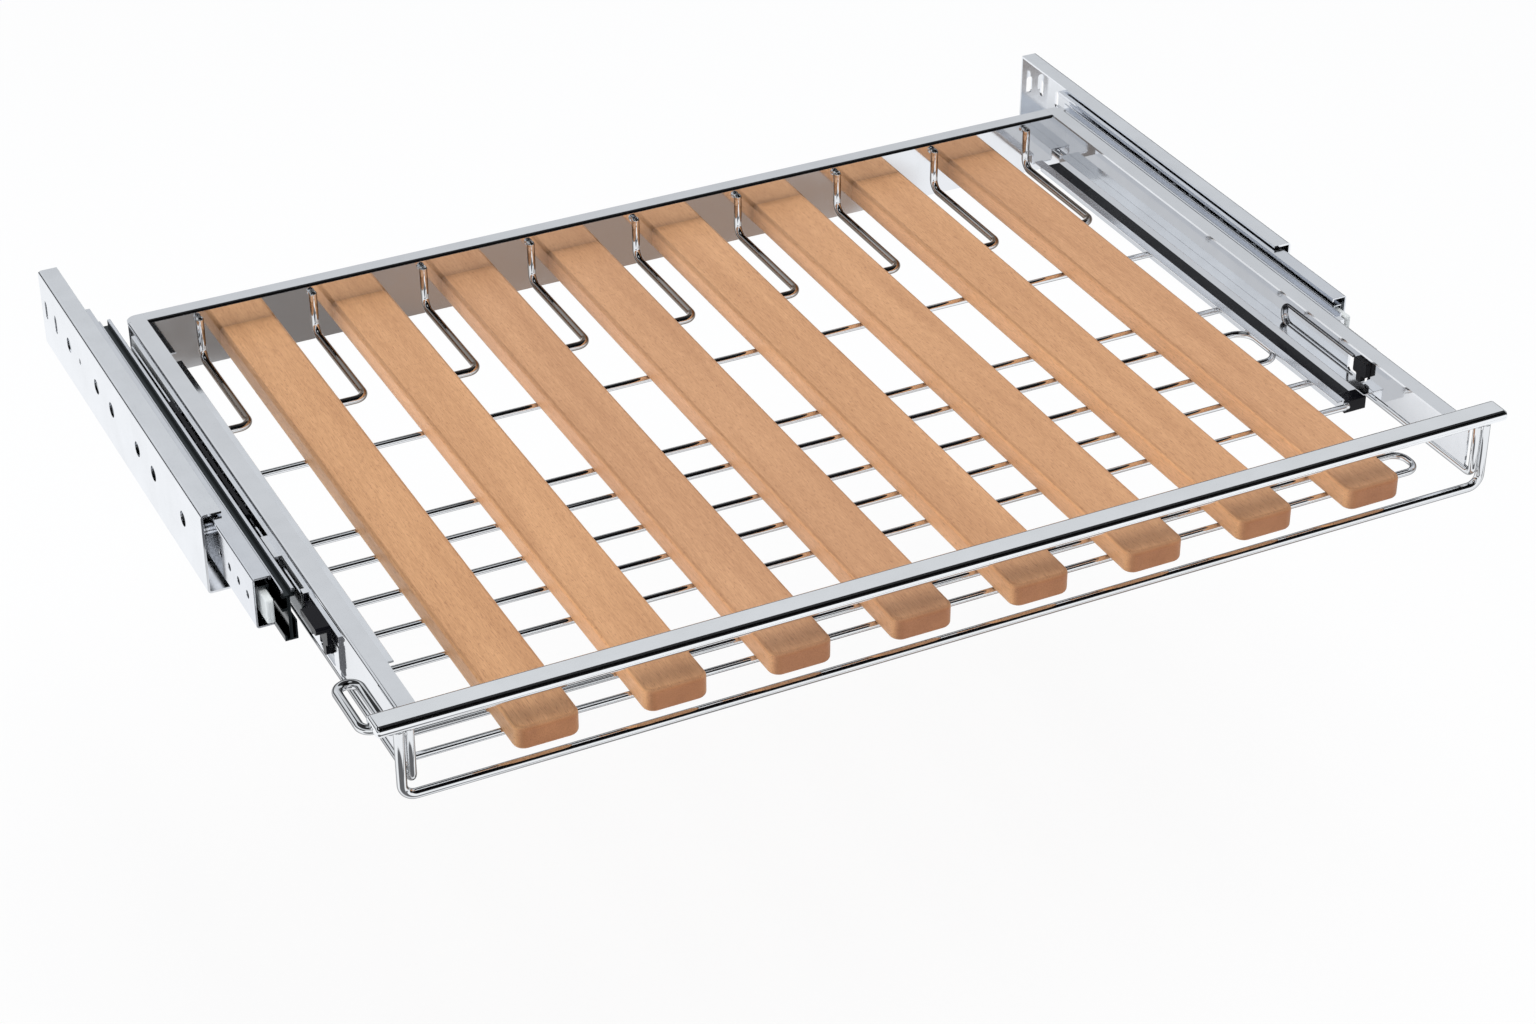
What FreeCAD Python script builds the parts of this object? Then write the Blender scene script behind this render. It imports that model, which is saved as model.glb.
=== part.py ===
import FreeCAD, Part
import Sketcher
import math
import os

# Pull-out rack with eight wooden slats on two ball-bearing slides.
# Sketches are drawn in a working frame: X across, Y towards the back with zero on
# the rear panel's front face, Z up with zero on the slats' top faces. A placement,
# bound to the sheet, then moves every piece so that the origin is under the middle.

doc = FreeCAD.newDocument("pull_out_rack")
sheet = doc.addObject("Spreadsheet::Sheet", "dims")


class Size:
    """A number from the sheet, or a sum or product of such numbers.
    It carries its value and the expression text that ties a property to the sheet."""

    def __init__(self, value, text):
        self.value = float(value)
        self.text = text

    @staticmethod
    def of(other):
        return other if isinstance(other, Size) else Size(other, "%s" % other)

    def __add__(self, other):
        other = Size.of(other)
        return Size(self.value + other.value, "(%s + %s)" % (self.text, other.text))

    def __sub__(self, other):
        other = Size.of(other)
        return Size(self.value - other.value, "(%s - %s)" % (self.text, other.text))

    def __mul__(self, other):
        other = Size.of(other)
        return Size(self.value * other.value, "(%s * %s)" % (self.text, other.text))

    def __truediv__(self, other):
        other = Size.of(other)
        return Size(self.value / other.value, "(%s / %s)" % (self.text, other.text))

    def __neg__(self):
        return Size(-self.value, "(0 - %s)" % self.text)

    def __radd__(self, other):
        return Size.of(other) + self

    def __rsub__(self, other):
        return Size.of(other) - self

    def __rmul__(self, other):
        return Size.of(other) * self


row = 0


def cell(name, value):
    """Writes one named value into the sheet and returns it as a Size."""
    global row
    row += 1
    sheet.set("A%d" % row, name)
    sheet.set("B%d" % row, "%s" % value)
    sheet.setAlias("B%d" % row, name)
    return Size(value, "dims.%s" % name)


# Driving sizes

# Whole rack
frame_y = cell("frame_y", 198)
frame_z = cell("frame_z", 39)
half_width = cell("half_width", 382)
slide_length = cell("slide_length", 350)
running_gap = cell("running_gap", 0.05)

# Cabinet bracket, a C of sheet steel
bracket_sheet = cell("bracket_sheet", 1.5)
bracket_top = cell("bracket_top", 16)
bracket_bottom = cell("bracket_bottom", -39)
bracket_flange = cell("bracket_flange", 13)
bracket_floor = cell("bracket_floor", 18)
bracket_front = cell("bracket_front", -237)
bracket_length = cell("bracket_length", 336)
bracket_bend = cell("bracket_bend", 2.5)
mount_radius = cell("mount_radius", 5)
mount_level = cell("mount_level", -8)
mount_pitch = cell("mount_pitch", 32)
mount_pair_a = cell("mount_pair_a", -141)
mount_pair_b = cell("mount_pair_b", -56)
mount_front = cell("mount_front", -198)
mount_back = cell("mount_back", 36)
narrow_slot_width = cell("narrow_slot_width", 5)
narrow_slot_height = cell("narrow_slot_height", 13)
narrow_slot_y = cell("narrow_slot_y", 66)
narrow_slot_step = cell("narrow_slot_step", 22)
pilot_radius = cell("pilot_radius", 2)
pilot_y = cell("pilot_y", 12)

# Cabinet channel, the slide's fixed member
channel_gap = cell("channel_gap", 4.5)
channel_out = half_width - bracket_sheet - channel_gap
channel_sheet = cell("channel_sheet", 1.2)
channel_deep = cell("channel_deep", 11)
channel_top = cell("channel_top", 13.5)
channel_bottom = cell("channel_bottom", -20.5)
channel_front = cell("channel_front", -311)
channel_lip = cell("channel_lip", 2.7)
channel_bend = cell("channel_bend", 2)
channel_hole_radius = cell("channel_hole_radius", 2.6)
channel_hole_y = cell("channel_hole_y", -299)
channel_hole_step = cell("channel_hole_step", 16)
spacer_radius = cell("spacer_radius", 5)
spacer_y = cell("spacer_y", -220)
spacer_step = cell("spacer_step", 120)

# Intermediate beam
beam_front = cell("beam_front", -324)
beam_gap = cell("beam_gap", 1.5)
beam_width = cell("beam_width", 8)
beam_out = channel_out - channel_deep - beam_gap
beam_in = beam_out - beam_width
beam_sheet = cell("beam_sheet", 1.2)
beam_web = cell("beam_web", 2)
beam_top = cell("beam_top", 10)
beam_bottom = cell("beam_bottom", -25)
beam_lip = cell("beam_lip", 5.5)
beam_floor_lip = cell("beam_floor_lip", 4)
beam_wall = cell("beam_wall", 13)
beam_rim = cell("beam_rim", 2.2)
beam_round = cell("beam_round", 0.5)
head_gap = cell("head_gap", 2.3)
head_deep = cell("head_deep", 6)
head_out = channel_out - channel_sheet - head_gap
head_in = head_out - head_deep
mid_level = (channel_top + channel_bottom) / 2
bridge = cell("bridge", 2)
nose_length = cell("nose_length", 13)
nose_half = cell("nose_half", 8)

# Balls and their cages
outer_ball = cell("outer_ball", 2.2)
inner_ball = cell("inner_ball", 1.95)
ball_step = cell("ball_step", 20)
cage_sheet = cell("cage_sheet", 1.2)
cage_gap = cell("cage_gap", 0.1)
outer_cage_front = cell("outer_cage_front", -225)
outer_cage_length = cell("outer_cage_length", 164)
inner_cage_front = cell("inner_cage_front", -238)
inner_cage_length = cell("inner_cage_length", 146)
upper_row = cell("upper_row", 7)
lower_row = cell("lower_row", -12.8)

# Side rails, slide plates and carrier channels of the rack
rail_sheet = cell("rail_sheet", 1.5)
ball_gap = cell("ball_gap", 0.1)
rail_out = beam_in - inner_ball * 2 - ball_gap - rail_sheet
rail_top = cell("rail_top", 16.6)
rail_bottom = cell("rail_bottom", -15.6)
rail_flange = cell("rail_flange", 12.3)
rail_front = cell("rail_front", -481)
rail_back = cell("rail_back", 12)
rail_corner = cell("rail_corner", 8)
rail_bend = cell("rail_bend", 2.2)
window_front = cell("window_front", -377)
window_back = cell("window_back", -281)
window_half = cell("window_half", 6.8)
window_level = cell("window_level", -6.9)
plate_front = cell("plate_front", -385)
plate_back = cell("plate_back", -6)
plate_top = cell("plate_top", 12)
plate_bottom = cell("plate_bottom", -15.4)
opening_length = cell("opening_length", 24)
rib = cell("rib", 0.5)
stop_front = cell("stop_front", -289)
stop_length = cell("stop_length", 24)
stop_deep = cell("stop_deep", 3.6)
tab_front = cell("tab_front", -338.5)
tab_width = cell("tab_width", 5)
tab_bottom = cell("tab_bottom", -1)
tab_top = cell("tab_top", 14.5)
carrier_gap = cell("carrier_gap", 6.6)
carrier_width = cell("carrier_width", 16.9)
carrier_lip = cell("carrier_lip", 5)
carrier_out = rail_out - rail_sheet - carrier_gap
carrier_inner_wall = carrier_out - carrier_width
carrier_edge = carrier_inner_wall - carrier_lip
carrier_top = cell("carrier_top", -13.6)
carrier_bottom = cell("carrier_bottom", -23)
carrier_sheet = cell("carrier_sheet", 1.2)
carrier_bend = cell("carrier_bend", 1.6)
plug_length = cell("plug_length", 9)
strip_thick = cell("strip_thick", 3)

# Release lever
pin_y = cell("pin_y", -345)
pin_level = cell("pin_level", 3.5)
pin_radius = cell("pin_radius", 1.2)
waist_y = cell("waist_y", -370)
waist_level = cell("waist_level", -4.8)
lever_front = cell("lever_front", -376)
lever_back = cell("lever_back", -341)
lever_thick = cell("lever_thick", 2.8)
lever_top = cell("lever_top", 11)
lever_bottom = cell("lever_bottom", 0.8)
lever_gap = cell("lever_gap", 0.3)
foot_half = cell("foot_half", 2.6)
foot_bottom = cell("foot_bottom", -7.2)
grip_back = cell("grip_back", -350)
grip_top = cell("grip_top", 13.7)
grip_bottom = cell("grip_bottom", 9.5)
grip_drop = cell("grip_drop", 12.2)
grip_thick = cell("grip_thick", 6.2)
waist_half = cell("waist_half", 2.6)
waist_high = cell("waist_high", 4)
knob_front = cell("knob_front", -379.5)
knob_back = cell("knob_back", -366)
knob_thick = cell("knob_thick", 3.6)
knob_top = cell("knob_top", 4)
knob_bottom = cell("knob_bottom", -6)
stem_width = cell("stem_width", 5)
stem_bottom = cell("stem_bottom", -11)

# Rear panel, front bar and bent wires
panel_sheet = cell("panel_sheet", 1.5)
panel_bottom = cell("panel_bottom", -24)
panel_bend = cell("panel_bend", 2.6)
bar_overhang = cell("bar_overhang", 19)
bar_half = rail_out + bar_overhang
bar_width = cell("bar_width", 18)
bar_height = cell("bar_height", 7)
bar_offset = cell("bar_offset", 2.5)
bar_y = rail_front - bar_offset
bar_round = cell("bar_round", 3.4)
wire_thick = cell("wire_thick", 3)
front_wire_out = cell("front_wire_out", 5.6)
front_wire_offset = cell("front_wire_offset", 4.5)
front_wire_x = rail_out + front_wire_out
front_wire_y = bar_y - front_wire_offset
front_wire_z = cell("front_wire_z", -27.6)
front_wire_bend = cell("front_wire_bend", 8)
side_rod = cell("side_rod", 2.5)
side_rod_bend = cell("side_rod_bend", 5)
cross_wire = cell("cross_wire", 2.2)
cross_level = cell("cross_level", -17.2)
cross_first = cell("cross_first", -157)
cross_second = cell("cross_second", -245)
cross_third = cell("cross_third", -277)
cross_fourth = cell("cross_fourth", -317)
cross_fifth = cell("cross_fifth", -352)
cross_sixth = cell("cross_sixth", -388)
cross_seventh = cell("cross_seventh", -449)
cross_eighth = cell("cross_eighth", -470)
hairpin_bend = cell("hairpin_bend", 12)
hairpin_bend_front = cell("hairpin_bend_front", 9)
hook_wire = cell("hook_wire", 2.7)
hook_offset = cell("hook_offset", 13.5)
hook_top = cell("hook_top", 12)
hook_front = cell("hook_front", -97)
hook_bend = cell("hook_bend", 8)
hook_reach = cell("hook_reach", 30)
lip_gap = cell("lip_gap", 0.5)
loop_wire = cell("loop_wire", 3)
loop_out = cell("loop_out", 8)
loop_width = cell("loop_width", 13.6)
loop_inset = cell("loop_inset", 6.5)
loop_length = cell("loop_length", 45)
loop_near = rail_out + loop_out
loop_far = loop_near + loop_width
loop_front = bar_y + loop_inset
loop_back = loop_front + loop_length
loop_bend = cell("loop_bend", 6.7)

# Slats and the screws behind them
slat_count = 8
slat_margin = cell("slat_margin", 78.4)
slat_pitch = (rail_out - slat_margin) / ((slat_count - 1) / 2)
slat_width = cell("slat_width", 39)
slat_thick = cell("slat_thick", 15)
slat_overhang = cell("slat_overhang", 11.5)
slat_front = bar_y - slat_overhang
slat_corner = cell("slat_corner", 7)
slat_edge = cell("slat_edge", 2)
screw_radius = cell("screw_radius", 1.8)
screw_head = cell("screw_head", 3.6)
screw_head_high = cell("screw_head_high", 2.4)
screw_length = cell("screw_length", 26)
screw_spread = cell("screw_spread", 20)

doc.recompute()

ZERO = Size(0, "0")
nodes = []
SIDES = (("left", -1), ("right", 1))


# Helpers that draw a sketch and keep it tied to the sheet

def new_body(label):
    body = doc.addObject("PartDesign::Body", label)
    body.Label = label
    body.setExpression("Placement.Base.y", "dims.frame_y")
    body.setExpression("Placement.Base.z", "dims.frame_z")
    nodes.append(body)
    return body


def new_sketch(body, plane, level):
    """A sketch on an origin plane of the body. level is the plane's own X, Y or Z."""
    sketch = body.newObject("Sketcher::SketchObject", body.Label + "_sketch")
    origin = [f for f in body.Origin.OriginFeatures if f.Role == plane + "_Plane"][0]
    sketch.AttachmentSupport = (origin, [""])
    sketch.MapMode = "FlatFace"
    shift = -level if plane == "XZ" else level
    sketch.setExpression("AttachmentOffset.Base.z", shift.text)
    return sketch


def bind(sketch, kind, *numbers):
    """Adds one dimension. The last argument is its Size."""
    size = numbers[-1]
    index = sketch.addConstraint(Sketcher.Constraint(kind, *numbers[:-1], size.value))
    sketch.setExpression("Constraints[%d]" % index, size.text)


def draw_path(sketch, corners, bend=None, closed=True, sharp=()):
    """Straight level and upright lines through the corners, which are Size pairs.
    Each corner gets an arc of radius bend, unless its number is in sharp."""
    count = len(corners)
    points = [(x.value, y.value) for x, y in corners]
    radius = bend.value if bend is not None else 0.0
    last = count if closed else count - 1
    rounded = set()
    for i in range(count):
        inside = closed or 0 < i < count - 1
        if bend is not None and inside and i not in sharp:
            rounded.add(i)
    lines, arcs = [], {}
    for i in range(last):
        a, b = points[i], points[(i + 1) % count]
        length = math.hypot(b[0] - a[0], b[1] - a[1])
        ux, uy = (b[0] - a[0]) / length, (b[1] - a[1]) / length
        cut_a = radius if i in rounded else 0.0
        cut_b = radius if (i + 1) % count in rounded else 0.0
        start = FreeCAD.Vector(a[0] + ux * cut_a, a[1] + uy * cut_a, 0)
        end = FreeCAD.Vector(b[0] - ux * cut_b, b[1] - uy * cut_b, 0)
        lines.append(sketch.addGeometry(Part.LineSegment(start, end), False))
    for i in sorted(rounded):
        before, here, after = points[(i - 1) % count], points[i], points[(i + 1) % count]
        u = FreeCAD.Vector(here[0] - before[0], here[1] - before[1], 0).normalize()
        v = FreeCAD.Vector(after[0] - here[0], after[1] - here[1], 0).normalize()
        corner = FreeCAD.Vector(here[0], here[1], 0)
        middle = corner - u * radius + v * radius
        start, end = corner - u * radius, corner + v * radius
        left_turn = u.x * v.y - u.y * v.x > 0
        if not left_turn:
            start, end = end, start
        a = math.atan2(start.y - middle.y, start.x - middle.x)
        b = math.atan2(end.y - middle.y, end.x - middle.x)
        if b < a:
            b += 2 * math.pi
        circle = Part.Circle(middle, FreeCAD.Vector(0, 0, 1), radius)
        arcs[i] = (sketch.addGeometry(Part.ArcOfCircle(circle, a, b), False), left_turn)
    for i in range(last):
        a, b = points[i], points[(i + 1) % count]
        if abs(a[1] - b[1]) < 1e-9:
            sketch.addConstraint(Sketcher.Constraint("Horizontal", lines[i]))
            bind(sketch, "DistanceY", -1, 1, lines[i], 1, corners[i][1])
        else:
            sketch.addConstraint(Sketcher.Constraint("Vertical", lines[i]))
            bind(sketch, "DistanceX", -1, 1, lines[i], 1, corners[i][0])
    for i in range(count):
        if not closed and i in (0, count - 1):
            continue
        before, after = lines[(i - 1) % count], lines[i]
        if i in rounded:
            arc, left_turn = arcs[i]
            first, second = (1, 2) if left_turn else (2, 1)
            sketch.addConstraint(Sketcher.Constraint("Tangent", before, 2, arc, first))
            sketch.addConstraint(Sketcher.Constraint("Tangent", arc, second, after, 1))
            bind(sketch, "Radius", arc, bend)
        else:
            sketch.addConstraint(Sketcher.Constraint("Coincident", before, 2, after, 1))
    if not closed:
        upright = abs(points[0][0] - points[1][0]) < 1e-9
        kind, part = ("DistanceY", 1) if upright else ("DistanceX", 0)
        bind(sketch, kind, -1, 1, lines[0], 1, corners[0][part])
        upright = abs(points[-1][0] - points[-2][0]) < 1e-9
        kind, part = ("DistanceY", 1) if upright else ("DistanceX", 0)
        bind(sketch, kind, -1, 1, lines[-1], 2, corners[-1][part])


def draw_circle(sketch, x, y, radius):
    middle = FreeCAD.Vector(x.value, y.value, 0)
    circle = Part.Circle(middle, FreeCAD.Vector(0, 0, 1), radius.value)
    index = sketch.addGeometry(circle, False)
    bind(sketch, "DistanceX", -1, 1, index, 3, x)
    bind(sketch, "DistanceY", -1, 1, index, 3, y)
    bind(sketch, "Radius", index, radius)


def box_corners(x0, y0, x1, y1):
    return [(x0, y0), (x1, y0), (x1, y1), (x0, y1)]


def pad(body, sketch, length):
    feature = body.newObject("PartDesign::Pad", body.Label + "_pad")
    feature.Profile = sketch
    feature.setExpression("Length", length.text)
    body.Tip = feature
    return feature


def pocket(body, sketch, length):
    feature = body.newObject("PartDesign::Pocket", body.Label + "_pocket")
    feature.Profile = sketch
    feature.setExpression("Length", length.text)
    body.Tip = feature
    return feature


def section_along_y(body, corners, front, length, bend=None, sharp=()):
    """Pads a cross-section drawn in X and Z from the front end backwards."""
    sketch = new_sketch(body, "XZ", front + length)
    draw_path(sketch, corners, bend, True, sharp)
    return pad(body, sketch, length)


def cut_across_web(body, side, face_out, sheet_size, loops, circles):
    """Cuts holes through an upright web. loops and circles are drawn in Y and Z."""
    high = (face_out + 1) if side > 0 else (-face_out + sheet_size + 1)
    sketch = new_sketch(body, "YZ", high)
    for corners, bend in loops:
        draw_path(sketch, corners, bend)
    for y, z, radius in circles:
        draw_circle(sketch, y, z, radius)
    pocket(body, sketch, sheet_size + 2)


def pipe(body, plane, level, corners, bend, radius):
    """Sweeps a round wire along a path on the plane. The path starts on a straight."""
    spine = new_sketch(body, plane, level)
    draw_path(spine, corners, bend, False)
    upright = abs(corners[0][0].value - corners[1][0].value) < 1e-9
    (a, b) = corners[0]
    if plane == "XZ":
        ring_plane, ring_level, centre = ("XY", b, (a, level)) if upright else ("YZ", a, (level, b))
    elif plane == "YZ":
        ring_plane, ring_level, centre = ("XY", b, (level, a)) if upright else ("XZ", a, (level, b))
    else:
        ring_plane, ring_level, centre = ("XZ", b, (a, level)) if upright else ("YZ", a, (b, level))
    ring = new_sketch(body, ring_plane, ring_level)
    draw_circle(ring, centre[0], centre[1], radius)
    doc.recompute()
    feature = body.newObject("PartDesign::AdditivePipe", body.Label + "_pipe")
    feature.Profile = ring
    feature.Spine = (spine, ["Edge%d" % (i + 1) for i in range(len(spine.Shape.Edges))])
    body.Tip = feature
    return feature


def round_edges(body, base, edges, radius):
    """Rounds edges that are picked by where their middles lie."""
    feature = body.newObject("PartDesign::Fillet", body.Label + "_round")
    feature.Base = (base, edges)
    feature.setExpression("Radius", radius.text)
    body.Tip = feature
    return feature


def is_long(edge, length):
    """True for an edge that runs nearly the whole length from front to back."""
    return edge.BoundBox.YLength > length.value * 0.9


def edge_names(shape, keep):
    names = []
    for number, edge in enumerate(shape.Edges):
        if keep(edge.CenterOfMass, edge):
            names.append("Edge%d" % (number + 1))
    return names


def new_group(label, members):
    """Like pieces that stay separate solids in one node."""
    group = doc.addObject("Part::Compound", label)
    group.Label = label
    group.Links = members
    group.setExpression("Placement.Base.y", "dims.frame_y")
    group.setExpression("Placement.Base.z", "dims.frame_z")
    nodes.append(group)
    return group


def place(feature, x, y, z):
    feature.setExpression("Placement.Base.x", x.text)
    feature.setExpression("Placement.Base.y", y.text)
    feature.setExpression("Placement.Base.z", z.text)


def cylinder(label, x, y, z, radius, length, axis, angle):
    feature = doc.addObject("Part::Cylinder", label)
    feature.setExpression("Radius", radius.text)
    feature.setExpression("Height", length.text)
    turn = FreeCAD.Rotation(FreeCAD.Vector(*axis), angle)
    feature.Placement = FreeCAD.Placement(FreeCAD.Vector(), turn)
    place(feature, x, y, z)
    return feature


# Cabinet brackets, their holes and slots and the tab that closes the back end
for name, side in SIDES:
    body = new_body("cabinet_bracket_" + name)
    out = half_width * side
    inner = (half_width - bracket_sheet) * side
    section = [(out, bracket_top),
               ((half_width - bracket_flange) * side, bracket_top),
               ((half_width - bracket_flange) * side, bracket_top - bracket_sheet),
               (inner, bracket_top - bracket_sheet),
               (inner, bracket_bottom + bracket_sheet),
               ((half_width - bracket_floor) * side, bracket_bottom + bracket_sheet),
               ((half_width - bracket_floor) * side, bracket_bottom),
               (out, bracket_bottom)]
    section_along_y(body, section, bracket_front, bracket_length)
    tab = box_corners(out, bracket_bottom, (half_width - bracket_flange) * side, bracket_top)
    section_along_y(body, tab, bracket_front + bracket_length - bracket_sheet, bracket_sheet)
    doc.recompute()
    names = edge_names(body.Tip.Shape, lambda c, e: abs(abs(c.x) - half_width.value) < 0.01
                       and is_long(e, bracket_length))
    round_edges(body, body.Tip, names, bracket_bend)
    loops = []
    for y in (narrow_slot_y, narrow_slot_y + narrow_slot_step):
        loops.append((box_corners(y - narrow_slot_width / 2, mount_level - narrow_slot_height / 2,
                                  y + narrow_slot_width / 2, mount_level + narrow_slot_height / 2),
                      narrow_slot_width / 2.1))
    circles = [(y, mount_level, mount_radius)
               for y in (mount_front, mount_pair_a, mount_pair_a + mount_pitch, mount_pair_b,
                         mount_pair_b + mount_pitch, mount_back)]
    circles.append((pilot_y, mount_level, pilot_radius))
    cut_across_web(body, side, half_width, bracket_sheet, loops, circles)
    # The tab's own upright slot
    sketch = new_sketch(body, "XZ", bracket_front + bracket_length - bracket_sheet - 1)
    mid = half_width - bracket_flange / 2
    draw_path(sketch, box_corners((mid - narrow_slot_width / 2) * side,
                                  mount_level - narrow_slot_height / 2,
                                  (mid + narrow_slot_width / 2) * side,
                                  mount_level + narrow_slot_height / 2),
              narrow_slot_width / 2.1)
    pocket(body, sketch, bracket_sheet + 2)

# Cabinet channels, each held off its bracket by three spacers
for name, side in SIDES:
    body = new_body("cabinet_channel_" + name)
    edge = (channel_out - channel_deep) * side
    back = (channel_out - channel_deep + channel_sheet) * side
    inner = (channel_out - channel_sheet) * side
    section = [(channel_out * side, channel_top),
               (edge, channel_top),
               (edge, channel_top - channel_lip),
               (back, channel_top - channel_lip),
               (back, channel_top - channel_sheet),
               (inner, channel_top - channel_sheet),
               (inner, channel_bottom + channel_sheet),
               (back, channel_bottom + channel_sheet),
               (back, channel_bottom + channel_lip),
               (edge, channel_bottom + channel_lip),
               (edge, channel_bottom),
               (channel_out * side, channel_bottom)]
    section_along_y(body, section, channel_front, slide_length)
    doc.recompute()
    names = edge_names(body.Tip.Shape, lambda c, e: abs(abs(c.x) - channel_out.value) < 0.01
                       and is_long(e, slide_length))
    round_edges(body, body.Tip, names, channel_bend)
    cut_across_web(body, side, channel_out, channel_sheet, [],
                   [(channel_hole_y + channel_hole_step * i, mid_level, channel_hole_radius)
                    for i in range(4)])
    spacers = []
    for i in range(3):
        start = (half_width - bracket_sheet) * side if side < 0 else channel_out
        spacer = cylinder("spacer_%s_%d" % (name, i + 1), start, spacer_y + spacer_step * i,
                          mid_level, spacer_radius, half_width - bracket_sheet - channel_out,
                          (0, 1, 0), 90)
        spacers.append(spacer)
    new_group("channel_spacers_" + name, spacers)

# Intermediate beams: a tray on top, a web between the ball rows and a head in the channel
for name, side in SIDES:
    body = new_body("intermediate_beam_" + name)
    web_mid = (beam_out + beam_in) / 2
    head_high = channel_top - channel_sheet - outer_ball * 2 - cage_gap
    head_low = channel_bottom + channel_sheet + outer_ball * 2 + cage_gap
    tray = beam_top - beam_lip + beam_sheet
    top_section = [((beam_out - beam_sheet) * side, beam_top),
                   ((beam_out - beam_sheet) * side, tray),
                   ((beam_in + beam_rim) * side, tray),
                   ((beam_in + beam_rim) * side, beam_top),
                   (beam_in * side, beam_top),
                   (beam_in * side, beam_top - beam_lip),
                   ((web_mid - beam_web / 2) * side, beam_top - beam_lip),
                   ((web_mid - beam_web / 2) * side, beam_bottom + beam_sheet),
                   ((beam_in + beam_sheet) * side, beam_bottom + beam_sheet),
                   ((beam_in + beam_sheet) * side, beam_bottom + beam_wall),
                   (beam_in * side, beam_bottom + beam_wall),
                   (beam_in * side, beam_bottom),
                   (beam_out * side, beam_bottom),
                   (beam_out * side, beam_bottom + beam_floor_lip),
                   ((beam_out - beam_sheet) * side, beam_bottom + beam_floor_lip),
                   ((beam_out - beam_sheet) * side, beam_bottom + beam_sheet),
                   ((web_mid + beam_web / 2) * side, beam_bottom + beam_sheet),
                   ((web_mid + beam_web / 2) * side, mid_level - bridge / 2),
                   (head_in * side, mid_level - bridge / 2),
                   (head_in * side, head_low),
                   (head_out * side, head_low),
                   (head_out * side, head_low + bridge / 2),
                   ((head_in + beam_sheet) * side, head_low + bridge / 2),
                   ((head_in + beam_sheet) * side, head_high - bridge / 2),
                   (head_out * side, head_high - bridge / 2),
                   (head_out * side, head_high),
                   (head_in * side, head_high),
                   (head_in * side, mid_level + bridge / 2),
                   ((web_mid + beam_web / 2) * side, mid_level + bridge / 2),
                   ((web_mid + beam_web / 2) * side, beam_top - beam_lip),
                   (beam_out * side, beam_top - beam_lip),
                   (beam_out * side, beam_top)]
    section_along_y(body, top_section, beam_front, slide_length)
    doc.recompute()
    names = edge_names(body.Tip.Shape, lambda c, e: is_long(e, slide_length)
                       and abs(c.z - beam_top.value) < 0.01)
    round_edges(body, body.Tip, names, beam_round)
    # The head starts a nose length behind the beam's front end
    sketch = new_sketch(body, "XZ", beam_front + nose_length)
    draw_path(sketch, box_corners((head_out + 1) * side, head_low - 1,
                                  (beam_out + 0.4) * side, head_high + 1))
    feature = pocket(body, sketch, nose_length + 1)
    feature.Reversed = True
    # A plastic nose closes the head's front end
    nose = new_body("beam_nose_" + name)
    corners = box_corners((head_in + beam_sheet) * side, mid_level - nose_half,
                          head_out * side, mid_level + nose_half)
    section_along_y(nose, corners, beam_front + 1, nose_length + 7)
    doc.recompute()
    names = edge_names(nose.Tip.Shape, lambda c, e: abs(c.y - beam_front.value - 1) < 0.01)
    round_edges(nose, nose.Tip, names, Size(2, "2"))

# Ball cages and balls: the outer ones in the channel, the inner ones by the plate
for name, side in SIDES:
    row_gap = outer_ball + cage_gap / 2
    head_high = channel_top - channel_sheet - outer_ball * 2 - cage_gap
    head_low = channel_bottom + channel_sheet + outer_ball * 2 + cage_gap
    high, low = head_high + row_gap, head_low - row_gap
    ball_x = (head_out + head_in) / 2 + 0.6
    cage_far, cage_near = head_out + 1.7, head_in + 0.8
    web_near = head_out + 0.5
    body = new_body("outer_cage_" + name)
    section = [(cage_far * side, high + cage_sheet / 2),
               (cage_near * side, high + cage_sheet / 2),
               (cage_near * side, high - cage_sheet / 2),
               (web_near * side, high - cage_sheet / 2),
               (web_near * side, low + cage_sheet / 2),
               (cage_near * side, low + cage_sheet / 2),
               (cage_near * side, low - cage_sheet / 2),
               (cage_far * side, low - cage_sheet / 2)]
    section_along_y(body, section, outer_cage_front, outer_cage_length)
    sketch = new_sketch(body, "XY", high + 2)
    balls = []
    for i in range(8):
        y = outer_cage_front + 12 + ball_step * i
        draw_circle(sketch, ball_x * side, y, outer_ball + running_gap)
        for level in (high, low):
            ball = doc.addObject("Part::Sphere", "outer_ball_%s" % name)
            ball.setExpression("Radius", outer_ball.text)
            place(ball, ball_x * side, y, level)
            balls.append(ball)
    pocket(body, sketch, high - low + 4)
    new_group("outer_balls_" + name, balls)

    plate_face = rail_out + rail_sheet
    ball_x = (beam_in + plate_face) / 2
    body = new_body("inner_cage_" + name)
    strip = inner_ball * 0.6
    corners = box_corners((ball_x + strip) * side, lower_row - inner_ball - 1,
                          (ball_x - strip) * side, upper_row + inner_ball + 0.8)
    section_along_y(body, corners, inner_cage_front, inner_cage_length)
    sketch = new_sketch(body, "YZ", (ball_x + strip + 1) if side > 0 else (-ball_x + strip + 1))
    balls = []
    for i in range(7):
        y = inner_cage_front + 13 + ball_step * i
        for level in (upper_row, lower_row):
            draw_circle(sketch, y, level, inner_ball + running_gap)
            ball = doc.addObject("Part::Sphere", "inner_ball_%s" % name)
            ball.setExpression("Radius", inner_ball.text)
            place(ball, ball_x * side, y, level)
            balls.append(ball)
    pocket(body, sketch, strip * 2 + 2)
    new_group("inner_balls_" + name, balls)

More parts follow.
